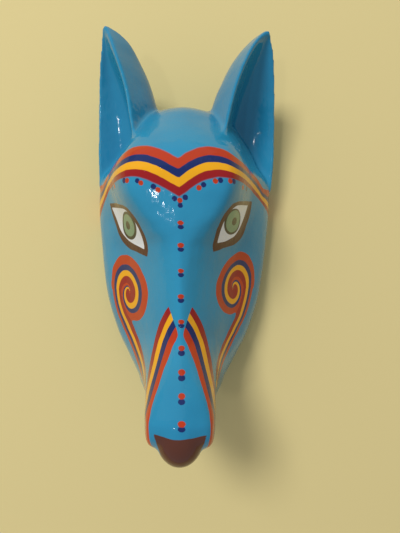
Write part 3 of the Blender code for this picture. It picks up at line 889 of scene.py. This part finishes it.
def colour(red, green, blue):
    """A colour given as it shows on a screen, 0 to 255, in the values that shaders use."""
    shown = np.array((red, green, blue)) / 255
    return tuple(np.where(shown <= 0.04045, shown / 12.92, ((shown + 0.055) / 1.055) ** 2.4).tolist())


BLUE = colour(44, 142, 180)
DEEP_BLUE = colour(34, 128, 168)
ORANGE = colour(184, 56, 20)
NAVY = colour(18, 40, 98)
YELLOW = colour(236, 168, 22)
DARK_RED = colour(150, 22, 26)
BROWN = colour(78, 36, 26)
NOSE_BROWN = colour(88, 48, 36)
EYE_WHITE = colour(226, 230, 236)
EYE_GREEN = colour(118, 152, 118)
RING_BLACK = colour(10, 16, 14)
PUPIL_BROWN = colour(44, 38, 22)
MOUTH_RED = colour(120, 20, 22)
BARE_WOOD = colour(206, 172, 122)
WOOD_GRAIN = colour(160, 118, 72)

# How softly one colour gives way to the next: in millimetres, and as parts of a stripe, ribbon or iris.
EDGE = 0.25
STRIPE_EDGE = 0.03
BROW_CHANGE_EDGE = 0.012
RIBBON_CHANGE_EDGE = 0.015
IRIS_EDGE = 0.02
PUPIL_EDGE = 0.05

# The unsteady hand: how far a painted edge wanders, in millimetres, and what one millimetre of that moves:
# the stripes' own measure on the brow and the snout, and a dot's edge.
WANDER = 0.8
BROW_WANDER = 0.035
CHEVRON_WANDER = 0.05
DOT_WANDER = 0.5

MOUTH_PAINT = 0.9  # millimetres from the slit that its red reaches
STRIPE_COLOURS = (ORANGE, NAVY, YELLOW, DARK_RED)
CHEVRON_COLOURS = (DARK_RED, YELLOW, NAVY, ORANGE)
CHEVRON_CHANGES = (1, 2, 3)

# The enamel's gloss and brush marks. A bump is its strength and its height in metres.
ENAMEL_ROUGHNESS = 0.09
ENAMEL_IOR = 1.41
PATCH_SCALE = 9
PATCH_RANGE = (0.35, 0.7)
WANDER_SCALE = 90
BRUSH_SCALE = 380
BRUSH_STRETCH = (1.0, 0.3, 1.0)
BRUSH_BUMP = (1.0, 0.0001)
SWELL_SCALE = 60
SWELL_BUMP = (1.0, 0.0008)

# The bare wood's grain and gouge marks.
WOOD_ROUGHNESS = 0.75
GRAIN_SCALE = 220
GRAIN_STRETCH = (1.0, 0.06, 1.0)
GRAIN_RANGE = (0.35, 0.68)
GRAIN_BUMP = (0.2, 0.0004)
GOUGE_SCALE = 110.0
GOUGE_STRETCH = (1.0, 0.5, 1.0)
GOUGE_BUMP = (0.5, 0.0015)

# Where the enamel stops: millimetres from the hollow, how ragged it is, and above the rim's face.
BARE_REACH = 1.5
BARE_EDGE = 0.4
RAGGED_SCALE = 70
RAGGED = 2.5
RIM_BARE = 0.6
RIM_EDGE = 0.3


def painted_stripes(nodes, under, inside, place, changes, colours, softness):
    """Stripes side by side, where inside is 1: the first colour, then the next past each change."""
    stripes = colours[0]
    for change, stripe in zip(changes, colours[1:]):
        stripes = nodes.mix(nodes.ramp(place, change - softness, change + softness), stripes, stripe)
    return nodes.mix(inside, under, stripes)


def inside_shape(nodes, name, wobble):
    """1 where a field with a wandering edge is below zero, which is inside its shape."""
    return nodes.below(nodes.maths("ADD", nodes.field(name), wobble), 0.0, EDGE)


def ground_colour(nodes):
    """The blue ground, a little deeper in patches."""
    patch = nodes.ramp(nodes.noise(PATCH_SCALE, detail=3), *PATCH_RANGE)
    return nodes.mix(patch, BLUE, DEEP_BLUE)


def painted_brow(nodes, paint, wobble):
    """The four stripes over the brow, on the head but not on the ears."""
    brow = nodes.maths("MULTIPLY_ADD", wobble, BROW_WANDER, nodes.field("brow"))
    before_end = nodes.below(brow, 1.0, STRIPE_EDGE)
    inside = nodes.maths("MULTIPLY", before_end, nodes.ramp(brow, -STRIPE_EDGE, STRIPE_EDGE))
    inside = nodes.maths("MULTIPLY", inside, nodes.below(nodes.field("head"), BARE_OF_BROW, EDGE))
    return painted_stripes(nodes, paint, inside, brow, BROW_CHANGES, STRIPE_COLOURS, BROW_CHANGE_EDGE)


def painted_ribbons(nodes, paint, wobble):
    """The spirals on the cheeks, with their tails."""
    place = nodes.maths("ARCTAN2", nodes.field("ribbon_sin"), nodes.field("ribbon_cos"))
    place = nodes.maths("FRACT", nodes.maths("MULTIPLY_ADD", place, 1 / (2 * np.pi), 1.0))
    inside = inside_shape(nodes, "ribbon", wobble)
    return painted_stripes(nodes, paint, inside, place, RIBBON_CHANGES, STRIPE_COLOURS, RIBBON_CHANGE_EDGE)


def painted_chevron(nodes, paint, wobble):
    """The stripes down both sides of the snout."""
    place = nodes.maths("MULTIPLY_ADD", wobble, CHEVRON_WANDER, nodes.field("chevron"))
    uncut = inside_shape(nodes, "chevron_cut", wobble)
    inside = nodes.maths("MULTIPLY", uncut, nodes.ramp(place, -STRIPE_EDGE, STRIPE_EDGE))
    return painted_stripes(nodes, paint, inside, place, CHEVRON_CHANGES, CHEVRON_COLOURS, STRIPE_EDGE)


def painted_dots(nodes, paint, wobble):
    """The navy dots, and the red dots over them."""
    for name, dot in (("navy_dot", NAVY), ("red_dot", ORANGE)):
        reach = nodes.maths("ADD", nodes.field(name), nodes.maths("MULTIPLY", wobble, DOT_WANDER))
        paint = nodes.mix(nodes.below(reach, DOT_RADIUS, EDGE), paint, dot)
    return paint


def painted_eyes(nodes, paint, wobble):
    """The brown lids, and between them the white with its green iris, dark ring and pupil."""
    paint = nodes.mix(inside_shape(nodes, "lid", wobble), paint, BROWN)
    white = nodes.below(nodes.field("white"), 0.0, EDGE)
    eye = EYE_WHITE
    for name, edge, shade in (("iris", IRIS_EDGE, RING_BLACK), ("iris_green", IRIS_EDGE, EYE_GREEN),
                              ("pupil", PUPIL_EDGE, PUPIL_BROWN)):
        eye = nodes.mix(nodes.below(nodes.field(name), 1.0, edge), eye, shade)
    return nodes.mix(white, paint, eye)


def painted_nose_and_mouth(nodes, paint, wobble):
    """The brown nose, and the red inside the mouth."""
    paint = nodes.mix(inside_shape(nodes, "nose", wobble), paint, NOSE_BROWN)
    return nodes.mix(nodes.below(nodes.field("mouth"), MOUTH_PAINT, EDGE), paint, MOUTH_RED)


def paint_colour(nodes, wobble):
    """The enamel's colours, laid over each other as the painter did."""
    paint = ground_colour(nodes)
    patterns = (painted_brow, painted_ribbons, painted_chevron, painted_dots, painted_eyes,
                painted_nose_and_mouth)
    for pattern in patterns:
        paint = pattern(nodes, paint, wobble)
    return paint


def enamel(nodes):
    """Gloss enamel, brushed on, that carries the painted patterns."""
    wobble = nodes.noise(WANDER_SCALE)
    wobble = nodes.maths("MULTIPLY_ADD", wobble, 2 * WANDER, -WANDER)
    ripple = nodes.noise(BRUSH_SCALE, stretch=BRUSH_STRETCH)
    swell = nodes.noise(SWELL_SCALE)
    normal = nodes.bump(swell, *SWELL_BUMP)
    normal = nodes.bump(ripple, *BRUSH_BUMP, normal)
    inputs = {
        "Base Color": paint_colour(nodes, wobble),
        "Roughness": ENAMEL_ROUGHNESS,
        "IOR": ENAMEL_IOR,
        "Normal": normal,
    }
    return nodes.node("BsdfPrincipled", inputs).outputs["BSDF"]


def bare_wood(nodes):
    """Pale carved wood, with grain along the mask and the shallow facets that the gouge leaves."""
    fibres = nodes.noise(GRAIN_SCALE, detail=4, stretch=GRAIN_STRETCH, roughness=0.6)
    grain = nodes.ramp(fibres, *GRAIN_RANGE)
    shade = nodes.mix(grain, BARE_WOOD, WOOD_GRAIN)
    place = nodes.stretched_place(GOUGE_STRETCH)
    facets = nodes.node("TexVoronoi", {"Vector": place, "Scale": GOUGE_SCALE}).outputs["Distance"]
    normal = nodes.bump(facets, *GOUGE_BUMP)
    normal = nodes.bump(grain, *GRAIN_BUMP, normal)
    inputs = {"Base Color": shade, "Roughness": WOOD_ROUGHNESS, "Normal": normal}
    return nodes.node("BsdfPrincipled", inputs).outputs["BSDF"]


def painted_wood():
    """Enamel outside, and bare wood in the hollow and under the rim, where the brush stopped."""
    nodes = Nodes("painted_wood")
    ragged = nodes.maths("MULTIPLY_ADD", nodes.noise(RAGGED_SCALE, detail=3), 2 * RAGGED, -RAGGED)
    hollow = nodes.maths("ADD", nodes.field("hollow"), ragged)
    under = nodes.below(nodes.field("rim"), RIM_BARE, RIM_EDGE)
    bare = nodes.maths("MAXIMUM", nodes.below(hollow, BARE_REACH, BARE_EDGE), under)
    shader = nodes.node("MixShader", {"Fac": bare, 1: enamel(nodes), 2: bare_wood(nodes)})
    nodes.node("OutputMaterial", {"Surface": shader.outputs[0]})
    return nodes.material


FLOOR_REACH = 6.0
FLOOR_GAP = 0.0002
FLOOR_COLOUR = (0.72, 0.60, 0.28)
FLOOR_ROUGHNESS = 0.9

# The camera's place is in millimetres, along the mask as the tables are.
CAMERA_PLACE = (17.4, 0.35, 448.0)
CAMERA_UP = (-0.02, 1.0, 0.0)
CAMERA_FILM = 36.0
CAMERA_LENS = 28.03
CAMERA_NEAREST = 0.01

# The lights: the direction each is in from LIT_PLACE, its distance and (width, height) in metres, its
# watts, and whether the gloss mirrors it.
LIT_PLACE = (0.0, 0.0, 0.1)
LIGHT_UP = (0.0, 1.0, 0.01)
LIGHTS = {
    "key": ((-0.36, 0.42, 0.83), 3.0, (0.8, 0.8), 58.0, False),
    "window": ((-0.2, 0.9, 0.36), 3.0, (3.0, 3.0), 6.0, True),
    "glint": ((-0.29, -0.12, 0.95), 1.6, (0.05, 0.1), 1.2, True),
}
SURROUND_COLOUR = (0.97, 0.98, 1.0)
SURROUND_STRENGTH = 0.38


def floor_object():
    """The pale floor that the mask lies on."""
    mesh = bpy.data.meshes.new("floor")
    square = ((-1, -1), (1, -1), (1, 1), (-1, 1))
    corners = [(x * FLOOR_REACH, y * FLOOR_REACH, -FLOOR_GAP) for x, y in square]
    mesh.from_pydata(corners, [], [(0, 1, 2, 3)])
    nodes = Nodes("pale_floor")
    inputs = {"Base Color": (*FLOOR_COLOUR, 1.0), "Roughness": FLOOR_ROUGHNESS}
    shader = nodes.node("BsdfPrincipled", inputs)
    nodes.node("OutputMaterial", {"Surface": shader.outputs["BSDF"]})
    mesh.materials.append(nodes.material)
    return new_object("floor", mesh)


def turned_to(direction, up):
    """The rotation of a camera or lamp that points along a direction."""
    back = -mathutils.Vector(direction).normalized()
    right = mathutils.Vector(up).cross(back).normalized()
    return mathutils.Matrix((right, back.cross(right), back)).transposed().to_euler()


def camera_object():
    """The camera, looking straight down on the mask."""
    camera = bpy.data.cameras.new("camera")
    camera.sensor_fit = "VERTICAL"
    camera.sensor_height = CAMERA_FILM
    camera.lens = CAMERA_LENS
    camera.clip_start = CAMERA_NEAREST
    made = new_object("camera", camera)
    made.location = (np.array(CAMERA_PLACE) - ORIGIN) * MM
    made.rotation_euler = turned_to((0, 0, -1), CAMERA_UP)
    bpy.context.scene.camera = made


def area_light(name, direction, distance, size, power, mirrored):
    """A light panel that shines at the mask, and is mirrored in its gloss or not."""
    light = bpy.data.lights.new(name, "AREA")
    light.shape = "RECTANGLE"
    light.size, light.size_y = size
    light.energy = power
    made = new_object(name, light)
    made.visible_glossy = mirrored
    towards = mathutils.Vector(direction).normalized()
    made.location = mathutils.Vector(LIT_PLACE) + towards * distance
    made.rotation_euler = turned_to(-towards, LIGHT_UP)


def light_scene():
    """The lights, and an even surround."""
    for name, settings in LIGHTS.items():
        area_light(name, *settings)
    world = bpy.data.worlds.new("studio")
    world.use_nodes = True
    background = world.node_tree.nodes["Background"]
    background.inputs["Color"].default_value = (*SURROUND_COLOUR, 1.0)
    background.inputs["Strength"].default_value = SURROUND_STRENGTH
    bpy.context.scene.world = world


bpy.context.scene.view_settings.view_transform = "Standard"
carving = carving_object()
carving.data.materials.append(painted_wood())
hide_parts(NODE)
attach(carving, "root")
floor = floor_object()
camera_object()
light_scene()
